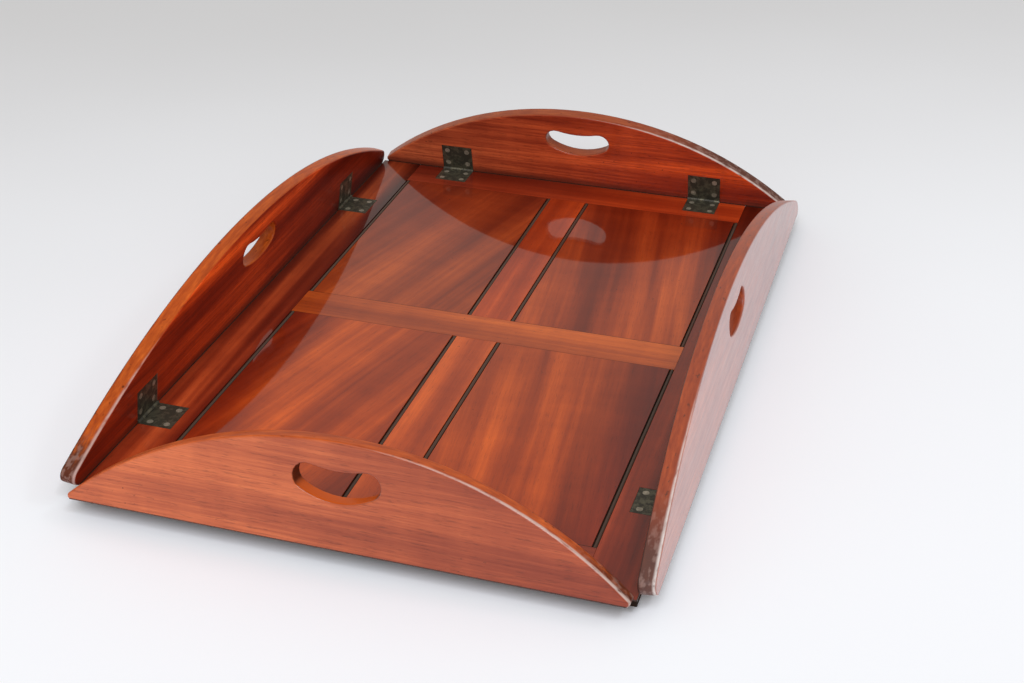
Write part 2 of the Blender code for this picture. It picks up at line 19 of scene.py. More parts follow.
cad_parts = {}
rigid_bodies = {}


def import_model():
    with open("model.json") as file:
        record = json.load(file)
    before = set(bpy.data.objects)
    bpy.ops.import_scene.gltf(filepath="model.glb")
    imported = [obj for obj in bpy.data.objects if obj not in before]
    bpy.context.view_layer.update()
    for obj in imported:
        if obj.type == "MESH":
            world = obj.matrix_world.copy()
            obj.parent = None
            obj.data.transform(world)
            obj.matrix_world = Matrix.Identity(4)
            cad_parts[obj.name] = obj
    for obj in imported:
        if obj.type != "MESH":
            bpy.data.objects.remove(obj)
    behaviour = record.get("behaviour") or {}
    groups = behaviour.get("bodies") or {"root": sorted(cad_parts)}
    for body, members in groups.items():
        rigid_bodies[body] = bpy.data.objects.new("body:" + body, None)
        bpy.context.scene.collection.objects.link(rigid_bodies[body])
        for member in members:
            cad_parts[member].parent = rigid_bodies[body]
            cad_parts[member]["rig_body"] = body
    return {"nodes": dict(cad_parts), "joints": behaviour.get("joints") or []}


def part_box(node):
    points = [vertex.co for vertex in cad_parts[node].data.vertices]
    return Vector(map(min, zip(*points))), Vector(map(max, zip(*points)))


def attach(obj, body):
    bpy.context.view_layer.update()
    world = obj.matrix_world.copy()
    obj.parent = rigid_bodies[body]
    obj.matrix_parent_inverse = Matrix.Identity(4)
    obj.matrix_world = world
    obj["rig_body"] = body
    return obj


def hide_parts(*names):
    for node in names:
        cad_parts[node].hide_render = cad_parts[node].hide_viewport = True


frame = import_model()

nodes = frame["nodes"]
joints = {joint["name"]: joint for joint in frame["joints"]}
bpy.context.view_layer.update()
board_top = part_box("rail_middle")[1].z
print("nodes:", len(nodes), "board:", round(board_top * 1000, 1), "mm thick")

# %% [markdown]
# ## Where each board lies
#
# Wood grain follows a board, not the world, so each board needs a frame of its own: X along
# the grain, Y across it, and Z out of the face that shows, which lies at zero. The flaps'
# frames could be typed in, but their hinges already say where they are: a joint's place
# gives the hinge line, and its range, less a quarter turn, gives the lean.

# %% Frames of the boards
QUARTER = math.pi / 2
SIDES = ("near", "far", "left", "right")


def hinge_line(side):
    """X runs along a side's hinge line, Y outwards and Z up."""
    x, y, z = joints[side + "_flap_hinge"]["pos_m"]
    turn = math.atan2(-x, y)
    return Matrix.Rotation(turn, 4, "Z") @ Matrix.Translation((0, math.hypot(x, y), z))


def flap_place(side):
    """X runs along the flap, Y into its board and Z up it."""
    lean = math.radians(joints[side + "_flap_hinge"]["range_deg"][1]) - QUARTER
    return hinge_line(side) @ Matrix.Rotation(lean, 4, "X")


def flap_board(side):
    """The flap as a board: X along it, Y up it and Z out of its inner face."""
    return flap_place(side) @ Matrix.Rotation(QUARTER, 4, "X")


along_x = Matrix.Translation((0, 0, board_top))
along_y = along_x @ Matrix.Rotation(QUARTER, 4, "Z")
for side in SIDES:
    place = flap_place(side)
    print(side, "hinge line at", [round(v, 4) for v in place.to_translation()])

# %% [markdown]
# ## Smoothed copies
#
# A frame's mesh is loose triangles, each with a shade of its own, so a rounded arris shows
# as facets under polish. The real flap's edge is one soft curve, rubbed round by hands. The
# triangles could be covered by a new model, but their shape is right already: a copy is
# merged into one skin, flat triangles are dissolved into whole faces, and normals weighted
# by area keep the big faces flat while the small arris turns smoothly between them.
#
# The frame keeps a third of a millimetre of air under a flap, so that no two solids touch.
# From a low camera that air is a bright line, so each copy's foot is let down on the way.

# %% Smoothed copies of the curved pieces
MERGE_GAP = 1e-6
FLAT_TURN = math.radians(0.3)
CORNER_TURN = math.radians(50)
# The air under a flap's foot in the frame, and what is left of it in the dressed tray
FOOT_GAP = 0.0003
FOOT_CLEAR = 0.00002


def new_mesh(bm, name):
    """The mesh of a bmesh that is done with."""
    mesh = bpy.data.meshes.new(name)
    bm.to_mesh(mesh)
    bm.free()
    return mesh


def new_piece(bm, name):
    """An object of the scene, with its origin at the frame's."""
    piece = bpy.data.objects.new(name, new_mesh(bm, name))
    bpy.context.scene.collection.objects.link(piece)
    return piece


def close_foot(bm, side):
    """Let a flap's foot straight down until it all but touches the base."""
    upright = flap_place(side).inverted()
    slope = (upright.to_3x3() @ Vector((0, 0, 1))).z
    for vert in bm.verts:
        height = (upright @ vert.co).z
        if abs(height - FOOT_GAP) < FOOT_GAP / 2:
            vert.co.z -= (height - FOOT_CLEAR) / slope


def smoothed(node):
    """A welded copy of a CAD node, shaded smooth, that stands for the node."""
    bm = bmesh.new()
    bm.from_mesh(nodes[node].data)
    bmesh.ops.remove_doubles(bm, verts=bm.verts, dist=MERGE_GAP)
    if node.startswith("flap_"):
        close_foot(bm, node[len("flap_"):])
    bmesh.ops.dissolve_limit(bm, angle_limit=FLAT_TURN, verts=bm.verts, edges=bm.edges)
    piece = new_piece(bm, node + "_smooth")
    old_normals = piece.data.attributes.get("custom_normal")
    if old_normals:
        piece.data.attributes.remove(old_normals)
    piece.data.shade_smooth()
    piece.data.set_sharp_from_angle(angle=CORNER_TURN)
    weighted = piece.modifiers.new("flat faces", "WEIGHTED_NORMAL")
    weighted.keep_sharp = True
    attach(piece, nodes[node]["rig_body"])
    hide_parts(node)
    return piece


curved = [name for name in nodes
          if name.startswith(("flap_", "panel_")) or name.endswith("_leaf")]
pieces = {name: smoothed(name) for name in curved}
for name, thing in nodes.items():
    pieces.setdefault(name, thing)
print("smoothed:", len(curved), "faces:", sum(len(pieces[n].data.polygons) for n in curved))

# %% [markdown]
# ## Screws
#
# Each leaf is held by four countersunk wood screws with a single slot. A screw's head could
# be a disc with a dark line painted on it, but the slot catches light, so it is cut: a
# cone's top is bisected twice, and the strip between the cuts is pushed down. The strip's
# ends are drawn in as it goes, because the head narrows below its rim.

# %% One screw head
HEAD_RADIUS = 0.0034
NECK_RADIUS = 0.0021
HEAD_DEPTH = 0.0014
HEAD_DROP = 0.00012
HEAD_SIDES = 28
RIM_BEVEL = 0.00018
RIM_SEGMENTS = 2
SLOT_WIDTH = 0.0008
SLOT_DEPTH = 0.0007
SLOT_FLOOR_SHARE = 0.74
FACES_UP = 0.9


def screw_mesh():
    """A slotted screw head that faces +Z and lies a hair below nought."""
    bm = bmesh.new()
    bmesh.ops.create_cone(bm, cap_ends=True, segments=HEAD_SIDES, radius1=NECK_RADIUS,
                          radius2=HEAD_RADIUS, depth=HEAD_DEPTH,
                          matrix=Matrix.Translation((0, 0, -HEAD_DEPTH / 2)))
    rim = [edge for edge in bm.edges if all(v.co.z > -MERGE_GAP for v in edge.verts)]
    bmesh.ops.bevel(bm, geom=rim, offset=RIM_BEVEL, offset_type="OFFSET", affect="EDGES",
                    segments=RIM_SEGMENTS, profile=0.5, material=-1)
    for side in (-1, 1):
        everything = list(bm.verts) + list(bm.edges) + list(bm.faces)
        bmesh.ops.bisect_plane(bm, geom=everything, plane_co=(side * SLOT_WIDTH / 2, 0, 0),
                               plane_no=(1, 0, 0))
    strip = [face for face in bm.faces
             if abs(face.calc_center_median().x) < SLOT_WIDTH / 2 - MERGE_GAP
             and abs(face.calc_center_median().z) < MERGE_GAP
             and face.normal.z > FACES_UP]
    sunk = bmesh.ops.extrude_face_region(bm, geom=strip)["geom"]
    floor = [item for item in sunk if isinstance(item, bmesh.types.BMVert)]
    bmesh.ops.translate(bm, vec=(0, 0, -SLOT_DEPTH), verts=floor)
    bmesh.ops.scale(bm, vec=(1, SLOT_FLOOR_SHARE, 1), verts=floor)
    bmesh.ops.translate(bm, vec=(0, 0, -HEAD_DROP), verts=bm.verts)
    bmesh.ops.recalc_face_normals(bm, faces=bm.faces)
    return new_mesh(bm, "screw_head")


head = screw_mesh()
print("faces of a screw head:", len(head.polygons))

# %% [markdown]
# The four screws of a leaf are one piece, because they move together. No two slots end up in
# line on a real tray, so each head is turned on by an angle that never comes round again, the
# one that sets the seeds of a sunflower.

# %% Four screws in every leaf
SCREW_SPACING = 0.0265
SCREW_ROWS = (0.0100, 0.0285)
LEAF_SCREWS = 4
TURN_STEP = 2.39996


def screws_of(hinge, side, leaf, first):
    """The four screws of one leaf, counted from first, as a piece that rides with it."""
    low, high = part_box(hinge + "_pin")
    offset = (hinge_line(side).inverted() @ ((low + high) / 2)).x
    if leaf == "base":
        place = hinge_line(side) @ Matrix.Rotation(math.pi, 4, "Z")
        offset = -offset
        body = "base"
    else:
        place = flap_board(side)
        body = "flap_" + side
    spots = [(across, row) for across in (-SCREW_SPACING / 2, SCREW_SPACING / 2)
             for row in SCREW_ROWS]
    bm = bmesh.new()
    for count, (across, row) in enumerate(spots, first):
        start = len(bm.verts)
        bm.from_mesh(head)
        bm.verts.ensure_lookup_table()
        spot = place @ Matrix.Translation((offset + across, row, 0))
        turned = spot @ Matrix.Rotation(TURN_STEP * count, 4, "Z")
        bmesh.ops.transform(bm, matrix=turned, verts=bm.verts[start:])
    piece = new_piece(bm, hinge + "_" + leaf + "_screws")
    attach(piece, body)
    return piece


screw_pieces = []
for side in SIDES:
    hinges = sorted(name[:-len("_pin")] for name in nodes
                    if name.startswith("hinge_" + side) and name.endswith("_pin"))
    for hinge in hinges:
        for leaf in ("base", "flap"):
            first = LEAF_SCREWS * len(screw_pieces) + 1
            screw_pieces.append(screws_of(hinge, side, leaf, first))
print("screws:", LEAF_SCREWS * len(screw_pieces), "in", len(screw_pieces), "pieces")

# %% [markdown]
# ## Dark bars in the corners
#
# The base's outer arris is eased by a third of a millimetre, and at low angles that notch
# would let the bright floor shine through under a flap. A thin dark three-sided bar fills it,
# and stops short of the hinges' knuckles. The bar's dark colour is painted shade for that
# notch, with the wax and dust that an old tray has there.

# %% Bars of wax and painted shade
SHADE_BAR_WIDTH = 0.0003
SHADE_BAR_DROP = 0.00001
KNUCKLE_ROOM = 0.0004


def shade_bar(bm, side, start, end):
    """Fill the notch of a side's arris from start to end along its hinge line."""
    corner = (-SHADE_BAR_DROP, -SHADE_BAR_DROP)
    section = [corner, (corner[0] - SHADE_BAR_WIDTH, corner[1]), (corner[0], corner[1] - SHADE_BAR_WIDTH)]
    ring = [bm.verts.new((start, out, up)) for out, up in section]
    drawn = bmesh.ops.extrude_face_region(bm, geom=[bm.faces.new(ring)])
    moved = [item for item in drawn["geom"] if isinstance(item, bmesh.types.BMVert)]
    bmesh.ops.translate(bm, vec=(end - start, 0, 0), verts=moved)
    bmesh.ops.transform(bm, matrix=hinge_line(side), verts=ring + moved)


def shade_bars_of(side):
    """The dark bars along one side of the base: painted shade, with wax and dust."""
    inverse = hinge_line(side).inverted()
    if side in ("left", "right"):
        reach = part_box("stile_left")[1].y
    else:
        reach = abs(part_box("stile_left")[1].x)
    stops = [-reach, reach]
    for name in nodes:
        if name.startswith("hinge_" + side) and name.endswith("_pin"):
            stops += [(inverse @ corner).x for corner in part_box(name)]
    stops.sort()
    bm = bmesh.new()
    for start, end in zip(stops[::2], stops[1::2]):
        shade_bar(bm, side, start + KNUCKLE_ROOM, end - KNUCKLE_ROOM)
    bmesh.ops.recalc_face_normals(bm, faces=bm.faces)
    # Dark bars of painted shade and wax
    piece = new_piece(bm, "wax_" + side)
    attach(piece, "base")
    return piece


shade_bar_pieces = [shade_bars_of(side) for side in SIDES]
print("wax bars:", sum(len(piece.data.polygons) for piece in shade_bar_pieces), "faces")

# %% [markdown]
# ## Sums with sockets
#
# A finish is a long sum, and a sum reads best as one. The small class below wraps a socket so
# that plus, minus and times add Math nodes.

# %% A class for sums
class Wire:
    """A socket that arithmetic can be done with."""

    def __init__(self, finish, socket):
        self.finish = finish
        self.socket = socket

    def sum(self, operation, first, second=0.0):
        """A Math node, which every operator below ends in."""
        return self.finish.add("ShaderNodeMath", {"operation": operation}, {0: first, 1: second})

    def __add__(self, other):
        return self.sum("ADD", self, other)

    def __sub__(self, other):
        return self.sum("SUBTRACT", self, other)

    def __rsub__(self, other):
        return self.sum("SUBTRACT", other, self)

    def __mul__(self, other):
        return self.sum("MULTIPLY", self, other)

    def __rpow__(self, other):
        return self.sum("POWER", other, self)

    def __abs__(self):
        return self.sum("ABSOLUTE", self)

    def __neg__(self):
        return self.sum("SUBTRACT", 0.0, self)

    __radd__ = __add__


def colour(red, green, blue):
    """An opaque colour from its linear parts."""
    return (red, green, blue, 1.0)


print("a wire knows:", ", ".join(name.strip("_") for name, value in vars(Wire).items()
                                 if callable(value)))

# %% [markdown]
# A material starts as a Principled shader, whose constants are set on its own sockets. One
# method adds any other node, from its type, its settings and what goes into its sockets, and
# the rest are short names for the few that every finish here needs.

# %% A class for finishes
class Finish:
    """A material in the making."""

    def __init__(self, name, **constants):
        self.material = bpy.data.materials.new(name)
        self.material.use_nodes = True
        self.tree = self.material.node_tree
        self.shader = self.tree.nodes["Principled BSDF"]
        for socket, value in constants.items():
            self.shader.inputs[socket.replace("_", " ")].default_value = value

    def add(self, kind, settings=None, sockets=None, out=0):
        """Any node: its settings first, then the values or links of its sockets."""
        node = self.tree.nodes.new(kind)
        for key, value in (settings or {}).items():
            setattr(node, key, value)
        for key, value in (sockets or {}).items():
            if isinstance(value, Wire):
                self.tree.links.new(value.socket, node.inputs[key])
            else:
                node.inputs[key].default_value = value
        return Wire(self, node.outputs[out])

    def feed(self, socket, wire):
        """Link a wire to one of the shader's own sockets."""
        self.tree.links.new(wire.socket, self.shader.inputs[socket])

    def step(self, value, low, high):
        """Zero below low, one above high and a soft turn between."""
        return self.add("ShaderNodeMapRange", {"interpolation_type": "SMOOTHSTEP"},
                        {"Value": value, "From Min": low, "From Max": high})

    def mix(self, factor, first, second):
        """Two colours mixed: the first at nought and the second at one."""
        return self.add("ShaderNodeMix", {"data_type": "RGBA"},
                        {0: factor, 6: first, 7: second}, out=2)

    def vector(self, operation, first, second, out=0):
        """Two vectors, or colours, joined by one operation."""
        return self.add("ShaderNodeVectorMath", {"operation": operation},
                        {0: first, 1: second}, out)

    def object_place(self):
        """Where a point lies on the piece, in metres."""
        return self.add("ShaderNodeTexCoord", out="Object")

    def noise(self, place, scale, seed, detail=3.0, roughness=0.55):
        """Noise that is stretched by scale, in waves to the metre along each axis."""
        stretched = self.add("ShaderNodeMapping", None,
                             {"Vector": place, "Scale": scale, "Location": (seed, seed / 2, 0)})
        return self.add("ShaderNodeTexNoise", None,
                        {"Vector": stretched, "Scale": 1.0, "Detail": detail,
                         "Roughness": roughness})

    def split(self, vector):
        """The three parts of a vector."""
        parts = self.add("ShaderNodeSeparateXYZ", None, {"Vector": vector})
        node = parts.socket.node
        return [Wire(self, socket) for socket in node.outputs]

    def bump(self, strength, depth, height):
        """Roughen the surface by a height."""
        self.feed("Normal", self.add("ShaderNodeBump", None,
                                     {"Strength": strength, "Distance": depth,
                                      "Height": height}))

    def put_on(self, thing):
        """Make this the piece's only material."""
        thing.data.materials.clear()
        thing.data.materials.append(self.material)


print("finish methods:", ", ".join(name for name in vars(Finish) if name[0] != "_"))

# %% [markdown]
# ## Mahogany
#
# Mahogany's figure is of four kinds: broad ribbons of dark and light along the board, a finer
# stripe, a faint mottle across it, and short open pores. All four are noise, stretched to
# different lengths along the board. An image of wood would tile and blur, and noise does
# neither.
#
# A dark ribbon is denser wood, and denser wood swallows green and blue sooner than red. So a
# ribbon doesn't mix two paints. It raises one number for each of the three colours to a
# power, and the board's own colour is multiplied by the result: dark ribbons turn red, and
# light ones gold.

# %% The wood's figure
# Waves to the metre along the board, across it and through it
WANDER = (2.2, 7.0, 7.0)
RIBBONS = (1.3, 24.0, 24.0)
STRIPES = (4.0, 170.0, 170.0)
MOTTLE = (26.0, 9.0, 9.0)
PORES = (60.0, 700.0, 700.0)
SPECKS = (170.0, 210.0, 170.0)
SPECK_FIELDS = (9.0, 9.0, 9.0)
# Each noise starts at its board's seed plus a number of its own, so no two look alike
RIBBON_SEED, STRIPE_SEED, MOTTLE_SEED, PORE_SEED = 3.1, 7.7, 11.3, 17.9
SPECK_SEED, FIELD_SEED = 23.0, 29.0
MEAN = 0.5
WARP = 0.012
RIBBON_SHARE = 2.3
MOTTLE_SHARE = 0.25
PORE_EDGE = (0.54, 0.72)
SPECK_EDGE = (0.70, 0.76)
FIELD_EDGE = (0.45, 0.60)
DENSITY = (7.0, 16.0, 12.0)
PORE_DARK = colour(0.030, 0.006, 0.003)
# Dark of specks and dents, and of the painted shade line along one arris of a flap's rim
SPECK_AND_SHADE_DARK = colour(0.014, 0.006, 0.004)


def board_space(finish, frame_of_board):
    """Object coordinates turned into a board's own frame."""
    inverse = frame_of_board.inverted()
    return finish.add("ShaderNodeMapping", None,
                      {"Vector": finish.object_place(),
                       "Location": inverse.to_translation(),
                       "Rotation": inverse.to_euler("XYZ")})


def density(finish, level):
    """What a colour is multiplied by: all ones at nought, red and dark below it."""
    return finish.add("ShaderNodeCombineXYZ", None,
                      {axis: base ** level for axis, base in zip("XYZ", DENSITY)})


def figure(finish, place, seed, boldness, stripe_share, stripes):
    """How the figure shades a board's colour, with its stripe and its pores."""
    wander = finish.noise(place, WANDER, seed, detail=1.0)
    offset = finish.add("ShaderNodeCombineXYZ", None, {"Y": (wander - MEAN) * WARP})
    bent = finish.vector("ADD", place, offset)
    ribbon = finish.noise(bent, RIBBONS, seed + RIBBON_SEED, detail=3.0, roughness=0.5)
    stripe = finish.noise(bent, stripes, seed + STRIPE_SEED, detail=4.0, roughness=0.65)
    mottle = finish.noise(bent, MOTTLE, seed + MOTTLE_SEED)
    level = ((ribbon - MEAN) * (RIBBON_SHARE * boldness) + (stripe - MEAN) * stripe_share
             + (mottle - MEAN) * MOTTLE_SHARE)
    pores = finish.noise(bent, PORES, seed + PORE_SEED, detail=2.0, roughness=0.7)
    return density(finish, level), stripe, finish.step(pores, *PORE_EDGE)


def marks(finish, place, seed):
    """Dents and ink-dark specks scattered over an old board."""
    specks = finish.noise(place, SPECKS, seed + SPECK_SEED, detail=2.0, roughness=0.5)
    fields = finish.noise(place, SPECK_FIELDS, seed + FIELD_SEED, detail=2.0)
    return finish.step(specks, *SPECK_EDGE) * finish.step(fields, *FIELD_EDGE)


def along_board(finish, place, node, frame_of_board):
    """Nought at one end of a board and one at the other."""
    ends = [(frame_of_board.inverted() @ corner).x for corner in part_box(node)]
    x = finish.split(place)[0]
    return finish.step(x, min(ends), max(ends))


kept = [round(base ** -MEAN, 2) for base in DENSITY]
print("half a level down, the wood keeps of red, green and blue:", kept)

# %% [markdown]
# ## The base
#
# Each of the base's eleven boards came out of a different plank, and the photograph shows it:
# the middle rail and the muntins are paler and browner, the stiles are nearly black red, and
# the panels' ribbons lean over, because their planks were sawn off the tree's line. So a
# board is described by its colour at both ends, the lean of its grain, and how bold its
# figure is.

# %% The base's boards
# Grain frame, lean of the grain in degrees, seed, colour at the near or left end, colour at
# the other end, and boldness of the figure
BASE_BOARDS = {
    "stile_left": (along_y, 0.0, 61.9,
                   colour(0.160, 0.014, 0.004), colour(0.100, 0.010, 0.003), 1.6),
    "stile_right": (along_y, 0.0, 2.3,
                    colour(0.190, 0.016, 0.003), colour(0.115, 0.011, 0.003), 0.9),
    "rail_near": (along_x, 0.0, 3.7,
                  colour(0.220, 0.022, 0.005), colour(0.220, 0.022, 0.005), 0.8),
    "rail_far": (along_x, 0.0, 5.2,
                 colour(0.115, 0.010, 0.004), colour(0.350, 0.033, 0.006), 0.8),
    "rail_middle": (along_x, 0.0, 6.1,
                    colour(0.390, 0.062, 0.008), colour(0.430, 0.070, 0.009), 0.5),
    "muntin_near": (along_y, 0.0, 8.4,
                    colour(0.450, 0.058, 0.007), colour(0.450, 0.064, 0.008), 0.5),
    "muntin_far": (along_y, 0.0, 9.8,
                   colour(0.410, 0.049, 0.006), colour(0.310, 0.029, 0.004), 0.7),
    "panel_near_left": (along_y, -15.0, 12.6,
                        colour(0.420, 0.050, 0.003), colour(0.350, 0.044, 0.004), 0.62),
    "panel_near_right": (along_y, 7.0, 14.9,
                         colour(0.370, 0.043, 0.003), colour(0.330, 0.042, 0.004), 0.58),
    "panel_far_left": (along_y, -15.0, 17.3,
                       colour(0.250, 0.032, 0.004), colour(0.155, 0.016, 0.004), 0.60),
    "panel_far_right": (along_y, 7.0, 21.4,
                        colour(0.340, 0.044, 0.005), colour(0.170, 0.015, 0.003), 0.88),
}
print("boards with leaning grain:", sum(row[1] != 0 for row in BASE_BOARDS.values()))

# %% [markdown]
# French polish lies on top of the wood. It is a clear thin coat, so the shader's own coat
# makes it. The wood below gets hardly any shine of its own, or the red would turn milky.
#
# The hollows are darkened: the quirk beside each bead and the corner under a flap get painted
# shade, with some of the wax and dust of two centuries, and the line where a panel butts
# against a rail is a dark joint. The solids have the shapes of these already, so heights and
# distances from a board's edges tell where the darkening goes.

# %% The base's polish, its dirt and its painted shade
WOOD_SHINE = 0.06
BASE_COAT = {"Coat_Roughness": 0.04, "Coat_IOR": 1.45}
BASE_STRIPE_SHARE = 0.40
BASE_PORES = 0.28
BASE_SPECKS = 0.7
BASE_ROUGHNESS = 0.40
STRIPE_ROUGHNESS = 0.2
GRIME_ROUGHNESS = 0.4
BASE_BUMP = (0.12, 0.0003)
BASE_PORE_DEPTH = 0.8
# The quirk beside a bead is a groove, so its floor and its top are heights below the face
QUIRK_TOP = -0.0007
QUIRK_FLOOR = -0.0016
TONGUE_LENGTH = 0.0060
BEAD_BAND = 0.0050
BUTT_LINE = 0.0006
CREVICE = 0.0009
EDGE_BLUR = 0.0004
BEAD_DARK = colour(0.055, 0.040, 0.028)
# Dirt, and painted shade for the hollows and the corners under the flaps
GRIME_AND_SHADE = colour(0.018, 0.011, 0.007)
BEAD_WEIGHT = 0.92
BUTT_WEIGHT = 0.8
CREVICE_WEIGHT = 0.85
QUIRK_WEIGHT = 0.9
BEAD_DULLNESS = 0.55
# The near panels are darker away from the tray's middle: how far out, and by how much
HEART_PANELS = ("panel_near_left", "panel_near_right")
HEART_REACH = (0.135, 0.205)
HEART_SHADE = colour(0.44, 0.26, 0.48)
WHITE = colour(1, 1, 1)
base_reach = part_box("stile_right")[1].xy


def edge_band(finish, distance, low, high, band):
    """One within a band along the two edges of a panel's show face."""
    middle = (low + high) / 2
    start = (high - low) / 2 - TONGUE_LENGTH - band
    return finish.step(abs(distance - middle), start, start + EDGE_BLUR)


def panel_edges(finish, name, body, x, y):
    """A panel's colour with its darkened beads and butt lines, and where the beads are."""
    if name in HEART_PANELS:
        heart = finish.step(abs(x), *HEART_REACH)
        body = finish.vector("MULTIPLY", body, finish.mix(heart, WHITE, HEART_SHADE))
    low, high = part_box(name)
    bead = edge_band(finish, x, low.x, high.x, BEAD_BAND)
    butt = edge_band(finish, y, low.y, high.y, BUTT_LINE)
    body = finish.mix(bead * BEAD_WEIGHT, body, BEAD_DARK)
    return finish.mix(butt * BUTT_WEIGHT, body, GRIME_AND_SHADE), bead


def rim_crevices(finish, body, x, y):
    """A frame board's colour with painted shade, and some dirt, where a flap's foot meets it."""
    for distance, reach in zip((x, y), base_reach):
        start = reach - CREVICE
        crevice = finish.step(abs(distance), start, start + EDGE_BLUR)
        body = finish.mix(crevice * CREVICE_WEIGHT, body, GRIME_AND_SHADE)
    return body


def base_wood(name):
    """A board of the base: figured wood, grime in its hollows, and a mirror-like coat."""
    board, lean, seed, first_end, second_end, boldness = BASE_BOARDS[name]
    finish = Finish(name + "_wood", Specular_IOR_Level=WOOD_SHINE, **BASE_COAT)
    place = board_space(finish, board)
    leaning = board_space(finish, board @ Matrix.Rotation(math.radians(lean), 4, "Z"))
    shade, stripe, pore = figure(finish, leaning, seed, boldness, BASE_STRIPE_SHARE, STRIPES)
    ends = finish.mix(along_board(finish, place, name, board), first_end, second_end)
    body = finish.vector("MULTIPLY", ends, shade)
    body = finish.mix(pore * BASE_PORES, body, PORE_DARK)
    body = finish.mix(marks(finish, place, seed) * BASE_SPECKS, body, SPECK_AND_SHADE_DARK)
    # Below the quirk's top the colour turns to painted shade, with some dirt
    quirk = 1.0 - finish.step(finish.split(place)[2], QUIRK_FLOOR, QUIRK_TOP)
    dull = quirk
    x, y, _ = finish.split(finish.object_place())
    if name.startswith("panel_"):
        body, bead = panel_edges(finish, name, body, x, y)
        dull = quirk + bead * BEAD_DULLNESS
    else:
        # Painted shade, with some dirt, along the edges under the flaps' feet
        body = rim_crevices(finish, body, x, y)
    finish.feed("Base Color", finish.mix(quirk * QUIRK_WEIGHT, body, GRIME_AND_SHADE))
    finish.feed("Coat Weight", 1.0 - dull)
    finish.feed("Roughness", BASE_ROUGHNESS + (stripe - MEAN) * STRIPE_ROUGHNESS
                + quirk * GRIME_ROUGHNESS)
    finish.bump(*BASE_BUMP, stripe - pore * BASE_PORE_DEPTH)
    return finish


for name in BASE_BOARDS:
    base_wood(name).put_on(pieces[name])
print("base boards painted:", len(BASE_BOARDS))

# %% [markdown]
# ## The flaps
#
# A flap's faces are polished like the base, but hands lift it by its rim and its hand-hold,
# so the colour there has worn back to a paler orange, and its ends have knocked against door
# frames until they are grey, with lighter chips that are partly a painted highlight. The near
# hand-hold's inside has painted light and shade instead. What differs from flap to flap is
# written down first.

# %% How each flap looks
# Places along a flap are metres from its middle on its own X. For each flap: seed, boldness
# of the figure, strength of stripes and pores, the wood's own shine, the coat, how much of
# the coat the rim has lost, colours at the -X and +X ends and of the rim, where the knocked
# grey end starts and is full, and the painted highlight on one arris of the rim. That is the
# inner arris for 1 and the outer one for -1, then where the highlight starts and is full, how
# wide it is there, and its colour. The other arris gets a line of painted shade.
FLAPS = {
    "near": {
        "seed": 31.0, "boldness": 0.32, "stripes": 0.58, "pores": 0.36,
        "shine": 0.08, "coat": 0.8, "rim_lost": 0.80,
        "ends": (colour(0.300, 0.047, 0.018), colour(0.605, 0.134, 0.044)),
        "rim": colour(0.500, 0.084, 0.014), "knocked": (-0.19, -0.27),
        "painted_highlight": (-1.0, 0.10, -0.24, 0.0054, colour(0.600, 0.450, 0.400)),
    },
    "far": {
        "seed": 37.5, "boldness": 1.00, "stripes": 0.85, "pores": 0.50,
        "shine": 0.12, "coat": 0.6, "rim_lost": 0.35,
        "ends": (colour(0.370, 0.064, 0.024), colour(0.480, 0.038, 0.004)),
        "rim": colour(0.300, 0.060, 0.016), "knocked": (0.05, 0.20),
        "painted_highlight": (1.0, -0.05, 0.18, 0.0046, colour(0.640, 0.500, 0.450)),
    },
    "left": {
        "seed": 43.2, "boldness": 1.20, "stripes": 0.75, "pores": 0.50,
        "shine": 0.05, "coat": 0.3, "rim_lost": 0.35,
        "ends": (colour(0.400, 0.032, 0.004), colour(0.160, 0.010, 0.003)),
        "rim": colour(0.440, 0.078, 0.010), "knocked": (-0.345, -0.385),
        "painted_highlight": (1.0, -0.16, -0.34, 0.0044, colour(0.560, 0.370, 0.330)),
    },
    "right": {
        "seed": 49.9, "boldness": 0.50, "stripes": 0.60, "pores": 0.30,
        "shine": 0.70, "coat": 1.0, "rim_lost": 0.90,
        "ends": (colour(0.330, 0.050, 0.020), colour(0.330, 0.060, 0.026)),
        "rim": colour(0.330, 0.046, 0.007), "knocked": (0.290, 0.375),
        "painted_highlight": (-1.0, 0.04, 0.36, 0.0042, colour(0.760, 0.660, 0.620)),
    },
}
for side, look in FLAPS.items():
    print(side, "flap's colours at its ends:", look["ends"])

# %% [markdown]
# The rim is told from the faces by the normal, which no longer points out of the board, so no
# painted mask has to follow the curve. One arris of the rim gets a line of painted shade, and
# the other a pale painted highlight, more and more towards one end. The near hand-hold shows
# its inside to the camera with painted light and shade: gold where it faces up, and nearly
# black at its sides.

# %% Marks of use, and painted light and shade
# Noises of the rim, in waves to the metre, and their seeds
STREAKS, STREAK_SEED = (30.0, 160.0, 260.0), 41.0
DENTS, DENT_SEED = (110.0, 240.0, 240.0), 47.0
CHIPS, CHIP_SEED = (70.0, 200.0, 200.0), 53.0
DENT_EDGE = (0.66, 0.74)
CHIP_EDGE = (0.46, 0.62)
# Where the streaks break up the painted highlight
HIGHLIGHT_BREAKUP = (0.20, 0.55)
# Steps of how squarely the surface faces out of the board, squared for the rim
RIM_TURN = (0.25, 0.85)
FACE_TURN = (0.50, 0.90)
# Where the painted shade line lies across the arris opposite the highlight
ARRIS_TURN = (0.30, 0.60)
ARRIS_END = (0.90, 0.98)
STREAK_SHARE = 0.8
RIM_WEIGHT = 0.9
DENT_WEIGHT = 0.7
KNOCKED_WEIGHT = 0.85
KNOCKED_WAVER = 0.06
# The knocked ends: dark wood with grey chips, and the lighter chips are partly painted highlight
KNOCKED_GREY_AND_GLINT = colour(0.185, 0.115, 0.096)
KNOCKED_DARK = colour(0.052, 0.018, 0.012)
